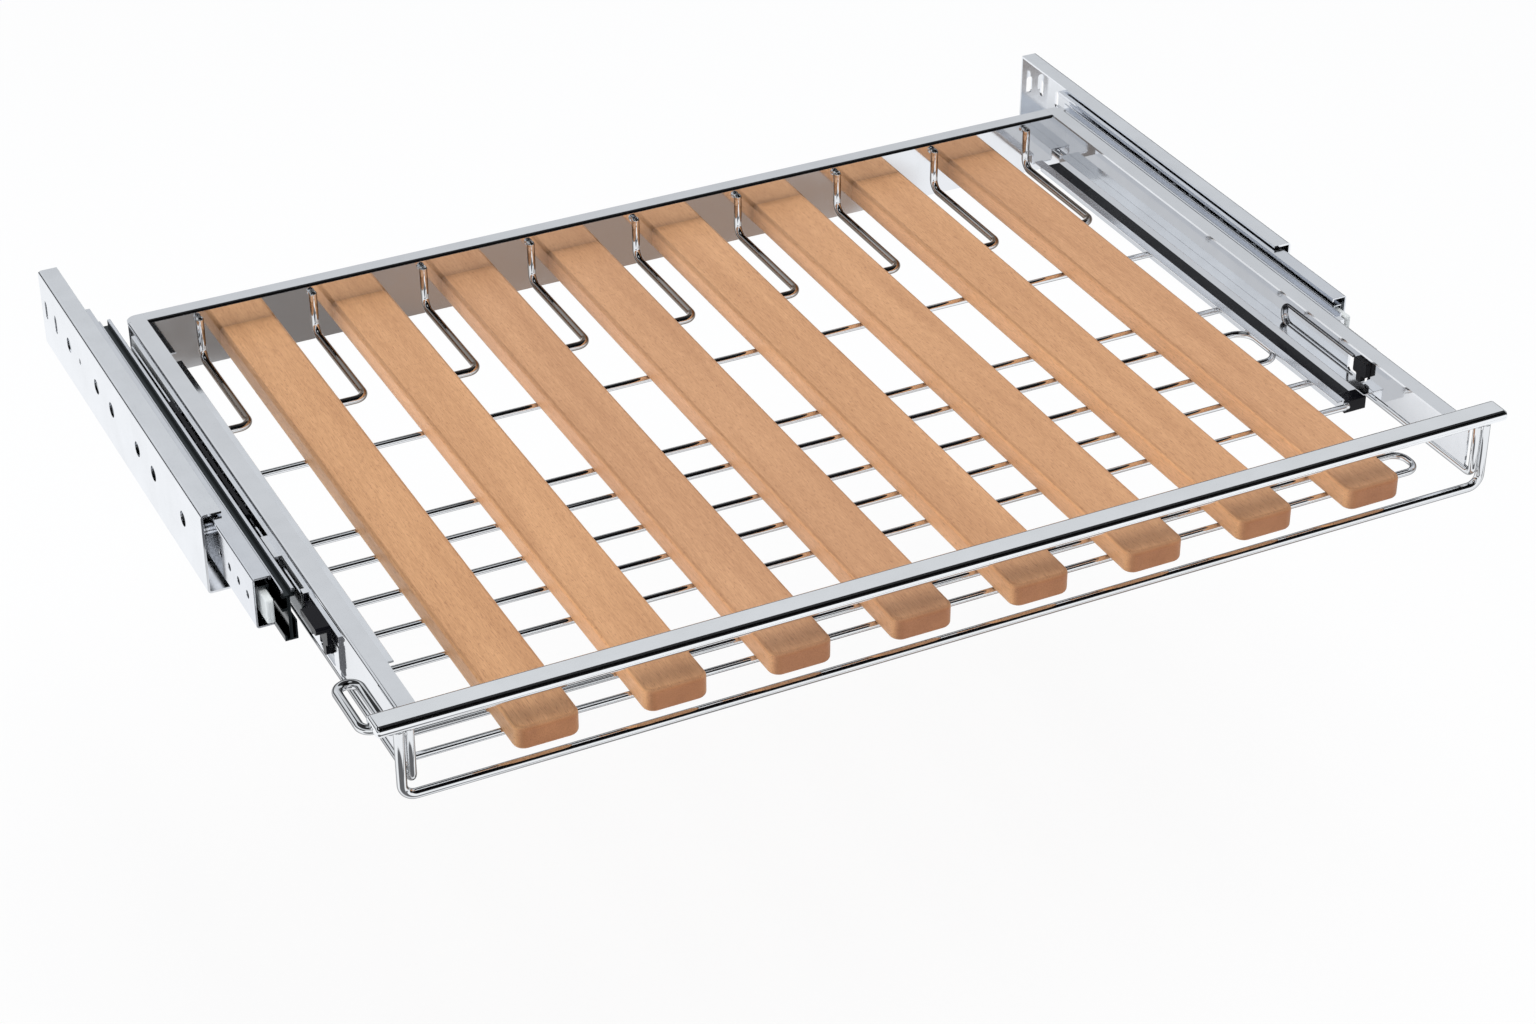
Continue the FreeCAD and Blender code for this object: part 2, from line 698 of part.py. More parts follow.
# Side rails with their windows
for name, side in SIDES:
    body = new_body("side_rail_" + name)
    inner = (rail_out - rail_sheet) * side
    section = [(rail_out * side, rail_top),
               ((rail_out - rail_flange) * side, rail_top),
               ((rail_out - rail_flange) * side, rail_top - rail_sheet),
               (inner, rail_top - rail_sheet),
               (inner, rail_bottom),
               (rail_out * side, rail_bottom)]
    section_along_y(body, section, rail_front, rail_back - rail_corner - rail_front)
    doc.recompute()
    names = edge_names(body.Tip.Shape, lambda c, e: is_long(e, rail_back - rail_corner - rail_front)
                       and abs(abs(c.x) - rail_out.value) < 0.01 and c.z > 0)
    round_edges(body, body.Tip, names, rail_bend)
    # The flange runs on to the back, where its outer corner is rounded
    sketch = new_sketch(body, "XY", rail_top - rail_sheet)
    corner = box_corners((rail_out - rail_flange) * side, rail_back - rail_corner,
                         rail_out * side, rail_back)
    draw_path(sketch, corner, rail_corner - 0.5, True, (0, 1, 3))
    pad(body, sketch, rail_sheet)
    loop = box_corners(window_front, window_level - window_half,
                       window_back, window_level + window_half)
    cut_across_web(body, side, rail_out, rail_sheet, [(loop, window_half * 0.97)], [])

# Slide plates on the rails' outer faces, with ball ribs, an opening, a tab and a stop
for name, side in SIDES:
    body = new_body("slide_plate_" + name)
    outer = (rail_out + rail_sheet) * side
    ridge = (rail_out + rail_sheet + rib) * side
    section = [(rail_out * side, plate_bottom),
               (outer, plate_bottom),
               (outer, lower_row + inner_ball + 0.4),
               (ridge, lower_row + inner_ball + 0.4),
               (ridge, upper_row - inner_ball - 0.4),
               (outer, upper_row - inner_ball - 0.4),
               (outer, plate_top),
               (rail_out * side, plate_top)]
    section_along_y(body, section, plate_front, plate_back - plate_front)
    stop = box_corners(outer, upper_row + inner_ball - 0.6,
                       (rail_out + rail_sheet + stop_deep) * side, upper_row + inner_ball + 1)
    section_along_y(body, stop, stop_front, stop_length)
    tab = box_corners(outer, tab_bottom, (rail_out + rail_sheet + stop_deep) * side, tab_top)
    section_along_y(body, tab, tab_front, tab_width)
    loop = box_corners(window_front, window_level - window_half,
                       window_front + opening_length, window_level + window_half)
    cut_across_web(body, side, rail_out + rail_sheet + rib, rail_sheet + rib,
                   [(loop, Size(3, "3"))], [])

# Carrier channels inside the rails, with a plastic strip that ends in a plug at the front
for name, side in SIDES:
    body = new_body("carrier_channel_" + name)
    section = [((rail_out - rail_sheet) * side, carrier_top),
               ((rail_out - rail_sheet) * side, carrier_top - carrier_sheet),
               (carrier_out * side, carrier_top - carrier_sheet),
               (carrier_out * side, carrier_bottom),
               (carrier_inner_wall * side, carrier_bottom),
               (carrier_inner_wall * side, carrier_top - carrier_sheet),
               (carrier_edge * side, carrier_top - carrier_sheet),
               (carrier_edge * side, carrier_top),
               ((carrier_inner_wall + carrier_sheet) * side, carrier_top),
               ((carrier_inner_wall + carrier_sheet) * side, carrier_bottom + carrier_sheet),
               ((carrier_out - carrier_sheet) * side, carrier_bottom + carrier_sheet),
               ((carrier_out - carrier_sheet) * side, carrier_top)]
    section_along_y(body, section, plate_front, plate_back - plate_front)
    doc.recompute()
    names = edge_names(body.Tip.Shape, lambda c, e: is_long(e, plate_back - plate_front)
                       and abs(c.z - carrier_bottom.value) < 0.01)
    round_edges(body, body.Tip, names, carrier_bend)
    plug = new_body("channel_plug_" + name)
    corners = box_corners((carrier_out - carrier_sheet) * side, carrier_bottom + carrier_sheet,
                          (carrier_inner_wall + carrier_sheet) * side, carrier_top - 0.4)
    section_along_y(plug, corners, plate_front, plug_length)
    face = box_corners((carrier_out - 0.4) * side, carrier_bottom + 0.4,
                       (carrier_inner_wall + 0.4) * side, carrier_top - 0.4)
    section_along_y(plug, face, plate_front - 2, Size(2, "2"))
    strip = box_corners((carrier_out - carrier_sheet) * side, carrier_bottom + carrier_sheet,
                        (carrier_inner_wall + carrier_sheet) * side,
                        carrier_bottom + carrier_sheet + strip_thick)
    section_along_y(plug, strip, plate_front, plate_back - plate_front)

# Release levers: blade and grip outside the plate, a waist through it and a knob inside
for name, side in SIDES:
    body = new_body("release_lever_" + name)
    face = rail_out + rail_sheet + rib + lever_gap
    blade = [(lever_front, lever_bottom),
             (waist_y - foot_half, lever_bottom),
             (waist_y - foot_half, foot_bottom),
             (waist_y + foot_half, foot_bottom),
             (waist_y + foot_half, lever_bottom),
             (lever_back, lever_bottom),
             (lever_back, lever_top),
             (lever_front, lever_top)]
    start = face * side if side > 0 else -face - lever_thick
    sketch = new_sketch(body, "YZ", start)
    draw_path(sketch, blade, Size(1.5, "1.5"))
    pad(body, sketch, lever_thick)
    # The grip stands out from the blade, high on the left and low behind the rail on the right
    start = face * side if side > 0 else -face - lever_thick - grip_thick
    sketch = new_sketch(body, "YZ", start)
    high, low = grip_top, grip_bottom
    if side > 0:
        high, low = grip_top - grip_drop, grip_bottom - grip_drop
    draw_path(sketch, box_corners(lever_front, low, grip_back, high), Size(2, "2"))
    pad(body, sketch, lever_thick + grip_thick)
    inner_face = rail_out - rail_sheet - lever_gap
    waist = box_corners(waist_y - waist_half, waist_level - waist_high / 2,
                        waist_y + waist_half, waist_level + waist_high / 2)
    start = inner_face * side if side > 0 else -face
    sketch = new_sketch(body, "YZ", start)
    draw_path(sketch, waist)
    pad(body, sketch, face - inner_face)
    knob = [(knob_front, knob_bottom),
            (waist_y - stem_width, knob_bottom),
            (waist_y - stem_width, stem_bottom),
            (waist_y, stem_bottom),
            (waist_y, knob_bottom),
            (knob_back, knob_bottom),
            (knob_back, knob_top),
            (knob_front, knob_top)]
    start = inner_face - knob_thick if side > 0 else -inner_face
    sketch = new_sketch(body, "YZ", start)
    draw_path(sketch, knob, Size(1, "1"))
    pad(body, sketch, knob_thick)
    # The lever turns on a rivet that is fixed in the rail and the plate
    cut_across_web(body, side, face + lever_thick, lever_thick, [],
                   [(pin_y, pin_level, pin_radius + running_gap)])
    for label in ("side_rail_", "slide_plate_"):
        holder = doc.getObject(label + name)
        cut_across_web(holder, side, rail_out + rail_sheet + rib, rail_sheet * 2 + rib, [],
                       [(pin_y, pin_level, pin_radius)])
    start = (rail_out - rail_sheet) if side > 0 else -(face + lever_thick)
    new_group("lever_pin_" + name,
              [cylinder("rivet_" + name, start, pin_y, pin_level, pin_radius,
                        face + lever_thick - (rail_out - rail_sheet), (0, 1, 0), 90)])

# Rear panel with the top flange turned back
body = new_body("rear_panel")
section = [(ZERO, panel_bottom),
           (panel_sheet, panel_bottom),
           (panel_sheet, rail_top - panel_sheet),
           (rail_back, rail_top - panel_sheet),
           (rail_back, rail_top),
           (ZERO, rail_top)]
sketch = new_sketch(body, "YZ", rail_flange - rail_out)
draw_path(sketch, section, panel_bend, True, (0, 1, 2, 3, 4))
pad(body, sketch, (rail_out - rail_flange) * 2)
sketch = new_sketch(body, "YZ", rail_sheet - rail_out)
draw_path(sketch, box_corners(ZERO, panel_bottom, panel_sheet, rail_top - rail_sheet))
pad(body, sketch, (rail_out - rail_sheet) * 2)

# Front bar, a flattened oval that lies on the rails
body = new_body("front_bar")
sketch = new_sketch(body, "YZ", -bar_half)
draw_path(sketch, box_corners(bar_y - bar_width / 2, rail_top,
                              bar_y + bar_width / 2, rail_top + bar_height), bar_round)
pad(body, sketch, bar_half * 2)

# Front wire and side rods
body = new_body("front_wire")
pipe(body, "XZ", front_wire_y,
     [(-front_wire_x, rail_top), (-front_wire_x, front_wire_z),
      (front_wire_x, front_wire_z), (front_wire_x, rail_top)], front_wire_bend, wire_thick)
for name, side in SIDES:
    body = new_body("side_rod_" + name)
    pipe(body, "YZ", (rail_out - rail_sheet / 2) * side,
         [(ZERO, rail_bottom - side_rod), (front_wire_y, rail_bottom - side_rod),
          (front_wire_y, rail_top)], side_rod_bend, side_rod)

# Cross wires under the slats
straight = []
for number, y in enumerate((cross_first, cross_second, cross_fifth, cross_sixth)):
    straight.append(cylinder("cross_wire_%d" % (number + 1), -carrier_inner_wall, y, cross_level,
                             cross_wire, carrier_inner_wall * 2, (0, 1, 0), 90))
new_group("cross_wires", straight)
body = new_body("hairpin_wire_middle")
pipe(body, "XY", cross_level,
     [(-carrier_inner_wall, cross_third), (carrier_inner_wall - cross_wire, cross_third),
      (carrier_inner_wall - cross_wire, cross_fourth), (-carrier_inner_wall, cross_fourth)],
     hairpin_bend, cross_wire)
body = new_body("hairpin_wire_front")
end = rail_out - rail_sheet / 2 - side_rod
pipe(body, "XY", cross_level,
     [(-end, cross_seventh), (carrier_inner_wall - cross_wire, cross_seventh),
      (carrier_inner_wall - cross_wire, cross_eighth), (-end, cross_eighth)],
     hairpin_bend_front, cross_wire)

# Rear hooks: down the panel, forward between two slats and across under one
hook_level = -slat_thick - hook_wire
for number in range(slat_count + 1):
    body = new_body("rear_hook_%d" % (number + 1))
    x = slat_pitch * (number - slat_count / 2 + 0.5) - slat_width / 2 - hook_offset
    tip = x - hook_reach
    if number == 0:
        tip = -carrier_inner_wall
    if number == slat_count:
        x = carrier_edge - hook_wire - lip_gap
    pipe(body, "YZ", x,
         [(-hook_wire, hook_top), (-hook_wire, hook_level), (hook_front / 2, hook_level)],
         hook_bend, hook_wire)
    pipe(body, "XY", hook_level,
         [(x, hook_front / 2), (x, hook_front), (tip, hook_front)],
         hook_bend, hook_wire)

# Loop of wire that stands out at the left front corner, under the bar's end
body = new_body("corner_loop")
pipe(body, "XY", rail_top - loop_wire,
     [(-loop_near, bar_y), (-loop_near, loop_back), (-loop_far, loop_back),
      (-loop_far, loop_front), (-loop_near - loop_wire - 0.3, loop_front)],
     loop_bend, loop_wire)

# Slats and the screws that hold them from behind the panel
places = []
for number in range(slat_count):
    body = new_body("slat_%d" % (number + 1))
    x = slat_pitch * (number - slat_count / 2 + 0.5)
    sketch = new_sketch(body, "XY", -slat_thick)
    draw_path(sketch, box_corners(x - slat_width / 2, slat_front, x + slat_width / 2, ZERO),
              slat_corner, True, (2, 3))
    pad(body, sketch, slat_thick)
    doc.recompute()
    names = edge_names(body.Tip.Shape, lambda c, e: e.BoundBox.ZLength < 0.01 and c.y < -0.5)
    round_edges(body, body.Tip, names, slat_edge)
    places.extend((x - screw_spread / 2, x + screw_spread / 2))

# Pilot holes in the slats and the panel are cut to the screw's own radius
for number in range(slat_count):
    body = doc.getObject("slat_%d" % (number + 1))
    sketch = new_sketch(body, "XZ", ZERO)
    for x in places[number * 2:number * 2 + 2]:
        draw_circle(sketch, x, -slat_thick / 2, screw_radius)
    feature = pocket(body, sketch, screw_length)
    feature.Reversed = True
panel = doc.getObject("rear_panel")
sketch = new_sketch(panel, "XZ", panel_sheet + 1)
for x in places:
    draw_circle(sketch, x, -slat_thick / 2, screw_radius)
feature = pocket(panel, sketch, panel_sheet + 2)
feature.Reversed = True

screws = []
for x in places:
    shank = cylinder("screw_shank", x, -screw_length, -slat_thick / 2, screw_radius,
                     screw_length + panel_sheet, (1, 0, 0), -90)
    head = cylinder("screw_head", x, panel_sheet, -slat_thick / 2, screw_head,
                    screw_head_high, (1, 0, 0), -90)
    joined = doc.addObject("Part::MultiFuse", "slat_screw")
    joined.Shapes = [shank, head]
    screws.append(joined)
new_group("slat_screws", screws)

# Check every object, then write one file for each node
doc.recompute()
for item in doc.Objects:
    state = [s for s in item.State if s in ("Invalid", "Error")]
    if state:
        raise RuntimeError("%s is %s" % (item.Label, state))
os.makedirs("parts", exist_ok=True)
for item in nodes:
    shape = item.Shape
    if shape.isNull() or not shape.isValid():
        raise RuntimeError("%s has no valid shape" % item.Label)
    shape.exportStep("parts/%s.step" % item.Label)
    print(item.Label, len(shape.Solids), round(shape.Volume, 1))
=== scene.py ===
import math

import bmesh
import bpy
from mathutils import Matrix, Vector


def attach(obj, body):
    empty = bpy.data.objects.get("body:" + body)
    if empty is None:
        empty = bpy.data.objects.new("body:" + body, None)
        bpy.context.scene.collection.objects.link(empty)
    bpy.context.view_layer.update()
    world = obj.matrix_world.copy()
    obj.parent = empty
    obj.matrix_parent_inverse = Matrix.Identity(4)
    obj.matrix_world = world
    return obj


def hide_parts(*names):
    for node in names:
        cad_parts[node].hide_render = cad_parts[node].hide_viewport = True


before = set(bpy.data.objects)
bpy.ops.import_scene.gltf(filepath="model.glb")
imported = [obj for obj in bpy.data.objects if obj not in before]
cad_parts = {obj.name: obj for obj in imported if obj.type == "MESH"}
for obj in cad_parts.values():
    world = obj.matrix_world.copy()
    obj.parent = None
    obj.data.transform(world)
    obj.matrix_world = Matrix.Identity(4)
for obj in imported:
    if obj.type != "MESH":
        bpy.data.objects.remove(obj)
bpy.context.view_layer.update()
scene = bpy.context.scene

# Studio: the camera at the photograph's place, a pale floor below the rack, a big soft
# lamp above and a dim one at the left. The room that the bright metal mirrors is pale
# grey behind the rack and black overhead and in front, as black cards make it.
EYE_PLACE = (-0.82905, -1.67934, 1.12143)
EYE_TILT, EYE_TURN = 57.47, -26.53
SENSOR, LENS, FAR_END = 36, 79.19, 50
LAMP_AIM = Vector((0, -0.1, 0))

scene.view_settings.view_transform = "Standard"
eye = bpy.data.objects.new("camera", bpy.data.cameras.new("camera"))
eye.location = EYE_PLACE
eye.rotation_euler = (math.radians(EYE_TILT), 0, math.radians(EYE_TURN))
eye.data.sensor_width = SENSOR
eye.data.lens = LENS
eye.data.clip_end = FAR_END
scene.collection.objects.link(eye)
scene.camera = eye


def lamp(name, place, size, power, colour):
    """A soft box lamp, which the metal doesn't mirror."""
    light = bpy.data.lights.new(name, "AREA")
    light.shape = "RECTANGLE"
    light.size, light.size_y = size
    light.energy = power
    light.color = colour
    holder = bpy.data.objects.new(name, light)
    holder.location = place
    holder.rotation_euler = (LAMP_AIM - holder.location).to_track_quat("-Z", "Y").to_euler()
    holder.visible_glossy = False
    scene.collection.objects.link(holder)


lamp("lamp_above", (0.45, -0.1, 2.2), (2.6, 1.6), 31, (1.0, 0.99, 0.97))
lamp("lamp_left", (-2.4, 0.9, 0.68), (1.2, 0.6), 16, (1.0, 0.99, 0.98))


def put(tree, socket, value):
    """Links a node's output to the socket, or writes a plain value into it."""
    if hasattr(value, "is_linked"):
        tree.links.new(value, socket)
    else:
        socket.default_value = value


def add(tree, kind, **inputs):
    """A node with its inputs set. A socket's name has an underscore for each space."""
    node = tree.nodes.new(kind)
    for name, value in inputs.items():
        put(tree, node.inputs[name.replace("_", " ")], value)
    return node


def maths(tree, operation, first, second=0.0):
    """A number worked out from one or two others."""
    node = tree.nodes.new("ShaderNodeMath")
    node.operation = operation
    put(tree, node.inputs[0], first)
    put(tree, node.inputs[1], second)
    return node.outputs[0]


def vectors(tree, operation, first, second):
    """A vector worked out from two others, or from one and a number."""
    node = tree.nodes.new("ShaderNodeVectorMath")
    node.operation = operation
    put(tree, node.inputs[0], first)
    put(tree, node.inputs[1], second)
    return node.outputs[0]


def remap(tree, value, start, end, least=0.0, most=1.0):
    """Least where the value is at start, most where it is at end, and even steps between."""
    node = add(tree, "ShaderNodeMapRange", Value=value, From_Min=start, From_Max=end, To_Min=least,
               To_Max=most)
    return node.outputs["Result"]


def ramp(tree, value, stops):
    """A colour ramp. Each stop is a place and a colour."""
    node = add(tree, "ShaderNodeValToRGB", Fac=value)
    for mark, (place, colour) in zip(node.color_ramp.elements, (stops[0], stops[-1])):
        mark.position, mark.color = place, (*colour, 1)
    for place, colour in stops[1:-1]:
        node.color_ramp.elements.new(place).color = (*colour, 1)
    return node.outputs["Color"]


def mix_colours(tree, share, first, second, kind="MIX"):
    """A colour that runs from the first to the second with the share."""
    node = tree.nodes.new("ShaderNodeMix")
    node.data_type = "RGBA"
    node.blend_type = kind
    for name, value in (("Factor", share), ("A", first), ("B", second)):
        put(tree, node.inputs[name], (*value, 1) if isinstance(value, tuple) else value)
    return node.outputs["Result"]


def mix_shaders(tree, share, first, second):
    """A shader that runs from the first to the second with the share."""
    node = add(tree, "ShaderNodeMixShader", Fac=share)
    tree.links.new(first.outputs[0], node.inputs[1])
    tree.links.new(second.outputs[0], node.inputs[2])
    return node


world = bpy.data.worlds.new("studio")
scene.world = world
world.use_nodes = True
tree = world.node_tree
tree.nodes.clear()
where = tree.nodes.new("ShaderNodeTexCoord")
# How bright the room is behind the rack, from the height of the floor to straight above
to_right, to_back, up = add(tree, "ShaderNodeSeparateXYZ", Vector=where.outputs["Generated"]).outputs
greys = ((0.20, 0.03), (0.28, 0.32), (0.36, 0.60), (0.48, 0.66), (0.618, 0.72), (0.632, 0.04))
room = ramp(tree, up, [(0.0, (0.03, 0.03, 0.033)),
                       *[(place, (grey * 0.97, grey, grey * 1.035)) for place, grey in greys],
                       (1.0, (0.02, 0.02, 0.022))])
# Black cards make the photographer's side dark, but for the far left
front = remap(tree, to_back, -0.22, 0.02, 0.02, 1.0)
beside = remap(tree, to_right, -0.15, -0.30, 0.0, 0.75)
room = mix_colours(tree, 1.0, room, maths(tree, "MAXIMUM", front, beside), "MULTIPLY")
# A white card stands at the far left
room = vectors(tree, "MULTIPLY", room, remap(tree, to_right, -0.05, -0.30, 1.0, 1.12))
# Straight above, a grey ceiling shows to the left of the black card
ceiling = maths(tree, "MULTIPLY", remap(tree, up, 0.955, 0.975), remap(tree, to_right, 0.08, 0.0))
room = mix_colours(tree, ceiling, room, (0.60, 0.62, 0.64))
# Low behind the photographer the pale floor runs up into a white sweep
sweep = maths(tree, "MULTIPLY", remap(tree, up, 0.30, 0.24), remap(tree, to_back, -0.50, -0.70))
room = mix_colours(tree, sweep, room, (0.94, 0.955, 0.975))
path = tree.nodes.new("ShaderNodeLightPath")
plain = add(tree, "ShaderNodeBackground", Color=(0.62, 0.63, 0.65, 1))
mirrored = add(tree, "ShaderNodeBackground", Color=room)
white = add(tree, "ShaderNodeBackground", Color=(1, 1, 1, 1))
seen = mix_shaders(tree, path.outputs["Is Glossy Ray"], plain, mirrored)
final = mix_shaders(tree, path.outputs["Is Camera Ray"], seen, white)
add(tree, "ShaderNodeOutputWorld", Surface=final.outputs[0])

FLOOR_LEVEL, FLOOR_HALF = -0.30, 14.0
floor_mesh = bpy.data.meshes.new("floor")
floor_mesh.from_pydata([(x * FLOOR_HALF, y * FLOOR_HALF, FLOOR_LEVEL)
                        for x, y in ((-1, -1), (1, -1), (1, 1), (-1, 1))], [], [(0, 1, 2, 3)])
floor = bpy.data.objects.new("floor", floor_mesh)
scene.collection.objects.link(floor)
paper = bpy.data.materials.new("floor_paper")
paper.use_nodes = True
tree = paper.node_tree
tree.nodes.clear()
# The metal mirrors a pale floor painted with dark bands, painted shadows where the rack keeps
# the light off it. Each band has its middle, its reach to the right and to the back, and its colour.
place = tree.nodes.new("ShaderNodeTexCoord")
floor_with_painted_shadows = (0.94, 0.955, 0.975)
for middle, radii, colour in (((0.10, 0.50), (0.16, 0.50), (0.60, 0.615, 0.635)),
                              ((-0.02, -0.39), (0.22, 0.11), (0.145, 0.125, 0.11)),
                              ((0.26, -0.39), (0.30, 0.11), (0.28, 0.18, 0.12)),
                              ((0.27, -0.765), (0.66, 0.065), (0.05, 0.05, 0.055)),
                              ((-0.60, -0.78), (0.55, 0.42), (0.05, 0.05, 0.055))):
    moved = vectors(tree, "SUBTRACT", place.outputs["Object"], (*middle, 0))
    scaled = vectors(tree, "MULTIPLY", moved, (1 / radii[0], 1 / radii[1], 0))
    reach = add(tree, "ShaderNodeVectorMath", Vector=scaled)
    reach.operation = "LENGTH"
    inside = remap(tree, reach.outputs["Value"], 1.0, 0.78)
    floor_with_painted_shadows = mix_colours(tree, inside, floor_with_painted_shadows, colour)
path = tree.nodes.new("ShaderNodeLightPath")
matt = add(tree, "ShaderNodeBsdfDiffuse", Color=(0.90, 0.91, 0.93, 1))
glow = add(tree, "ShaderNodeEmission", Color=(1, 1, 1, 1))
mirrored = add(tree, "ShaderNodeEmission", Color=floor_with_painted_shadows)
seen = mix_shaders(tree, maths(tree, "MULTIPLY", path.outputs["Is Camera Ray"], 0.88), matt, glow)
final = mix_shaders(tree, maths(tree, "MULTIPLY", path.outputs["Is Glossy Ray"], 0.9), seen, mirrored)
add(tree, "ShaderNodeOutputMaterial", Surface=final.outputs[0])
floor_mesh.materials.append(paper)

# Slats: eight boards of pale beech, planed flat, with round front corners and eased
# edges under clear lacquer. They butt against the rear panel, and screws from behind
# it hold each one.
MM = 0.001
SHIFT_Y, SHIFT_Z = 198, 39
SLAT_COUNT, SLAT_PITCH, SLAT_WIDTH, SLAT_THICK, SLAT_FRONT = 8, 77.6, 39, 15, -495
SLAT_CORNER, SLAT_EDGE = 7, 2.6
CORNER_STEPS, EDGE_STEPS = 8, 6


def at(x, y, z):
    """A place in the drawing's millimetres as a place in the scene."""
    return Vector((x, y + SHIFT_Y, z + SHIFT_Z)) * MM


def new_piece(name, mesh, body="rack", nodes=()):
    """Links a finished mesh as a piece of the object."""
    piece = bpy.data.objects.new(name, mesh)
    scene.collection.objects.link(piece)
    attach(piece, body)
    if nodes:
        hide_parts(*nodes)
    return piece


def new_tree(name, *sockets):
    """A Geometry Nodes tree with a Geometry socket each way and named inputs."""
    tree = bpy.data.node_groups.new(name, "GeometryNodeTree")
    tree.interface.new_socket("Geometry", in_out="INPUT", socket_type="NodeSocketGeometry")
    for label, kind in sockets:
        tree.interface.new_socket(label, in_out="INPUT", socket_type="NodeSocket" + kind)
    tree.interface.new_socket("Geometry", in_out="OUTPUT", socket_type="NodeSocketGeometry")
    return tree, tree.nodes.new("NodeGroupInput").outputs


def finish_tree(tree, geometry, material):
    """Makes real meshes of all instances, gives them the material and ends the tree."""
    real = add(tree, "GeometryNodeRealizeInstances", Geometry=geometry)
    done = add(tree, "GeometryNodeSetMaterial", Geometry=real.outputs[0], Material=material)
    add(tree, "NodeGroupOutput", Geometry=done.outputs[0])


def run_tree(tree, mesh, **values):
    """Gives the plain mesh that the tree makes from mesh with these input values."""
    holder = bpy.data.objects.new("workpiece", mesh)
    scene.collection.objects.link(holder)
    modifier = holder.modifiers.new("tree", "NODES")
    modifier.node_group = tree
    names = {s.name: s.identifier for s in tree.interface.items_tree if s.in_out == "INPUT"}
    for name, value in values.items():
        modifier[names[name]] = value
    graph = bpy.context.evaluated_depsgraph_get()
    result = bpy.data.meshes.new_from_object(holder.evaluated_get(graph))
    holder.modifiers.remove(modifier)
    bpy.data.objects.remove(holder)
    return result


def one_slat():
    """The board that all eight are copies of, lying with its middle at X zero."""
    half = SLAT_WIDTH / 2
    outline = [(half, 0), (-half, 0)]
    for side in (-1, 1):
        for i in range(CORNER_STEPS + 1):
            turn = math.pi / 2 * i / CORNER_STEPS
            sweep = math.cos(turn) if side < 0 else math.sin(turn)
            drop = math.sin(turn) if side < 0 else math.cos(turn)
            outline.append((side * (half - SLAT_CORNER + SLAT_CORNER * sweep),
                            SLAT_FRONT + SLAT_CORNER - SLAT_CORNER * drop))
    bm = bmesh.new()
    ring = [bm.verts.new(at(x, y, 0)) for x, y in outline]
    top = bm.faces.new(ring)
    made = bmesh.ops.extrude_face_region(bm, geom=[top])
    lower = [v for v in made["geom"] if isinstance(v, bmesh.types.BMVert)]
    bmesh.ops.translate(bm, verts=lower, vec=(0, 0, -SLAT_THICK * MM))
    bmesh.ops.recalc_face_normals(bm, faces=bm.faces)
    rear = at(0, 0, 0).y
    level = [e for e in bm.edges if abs(e.verts[0].co.z - e.verts[1].co.z) < 1e-6]
    eased = [e for e in level if min(v.co.y for v in e.verts) < rear - 0.001]
    bmesh.ops.bevel(bm, geom=eased, offset=SLAT_EDGE * MM, segments=EDGE_STEPS, profile=0.5,
                    affect="EDGES", clamp_overlap=True)
    mesh = bpy.data.meshes.new("slat")
    bm.to_mesh(mesh)
    bm.free()
    for face in mesh.polygons:
        face.use_smooth = True
    return mesh


def evened(mesh, width=0.0, steps=2):
    """The mesh with its sharp edges broken and its flat faces shaded flat."""
    holder = bpy.data.objects.new("workpiece", mesh)
    scene.collection.objects.link(holder)
    if width:
        bevel = holder.modifiers.new("edges", "BEVEL")
        bevel.width = width * MM
        bevel.segments = steps
        bevel.limit_method = "ANGLE"
        bevel.angle_limit = math.radians(32)
        bevel.use_clamp_overlap = True
    even = holder.modifiers.new("flat faces", "WEIGHTED_NORMAL")
    even.keep_sharp = True
    even.weight = 100
    graph = bpy.context.evaluated_depsgraph_get()
    made = bpy.data.meshes.new_from_object(holder.evaluated_get(graph))
    bpy.data.objects.remove(holder)
    return made


def new_material(name):
    """A material with its tree and its main shader's inputs."""
    material = bpy.data.materials.new(name)
    material.use_nodes = True
    return material, material.node_tree, material.node_tree.nodes["Principled BSDF"].inputs


def facing_of(tree):
    """The surface's outward direction, split into X, Y and Z."""
    normal = tree.nodes.new("ShaderNodeNewGeometry")
    return add(tree, "ShaderNodeSeparateXYZ", Vector=normal.outputs["Normal"]).outputs


def fleck_layer(tree, where, across, along, low, high):
    """Short dark streaks that follow the board, as a mask from zero to one."""
    stretched = vectors(tree, "MULTIPLY", where, (across, along, across))
    noise = add(tree, "ShaderNodeTexNoise", Vector=stretched, Scale=1.0, Detail=1.5)
    return remap(tree, noise.outputs["Fac"], low, high)


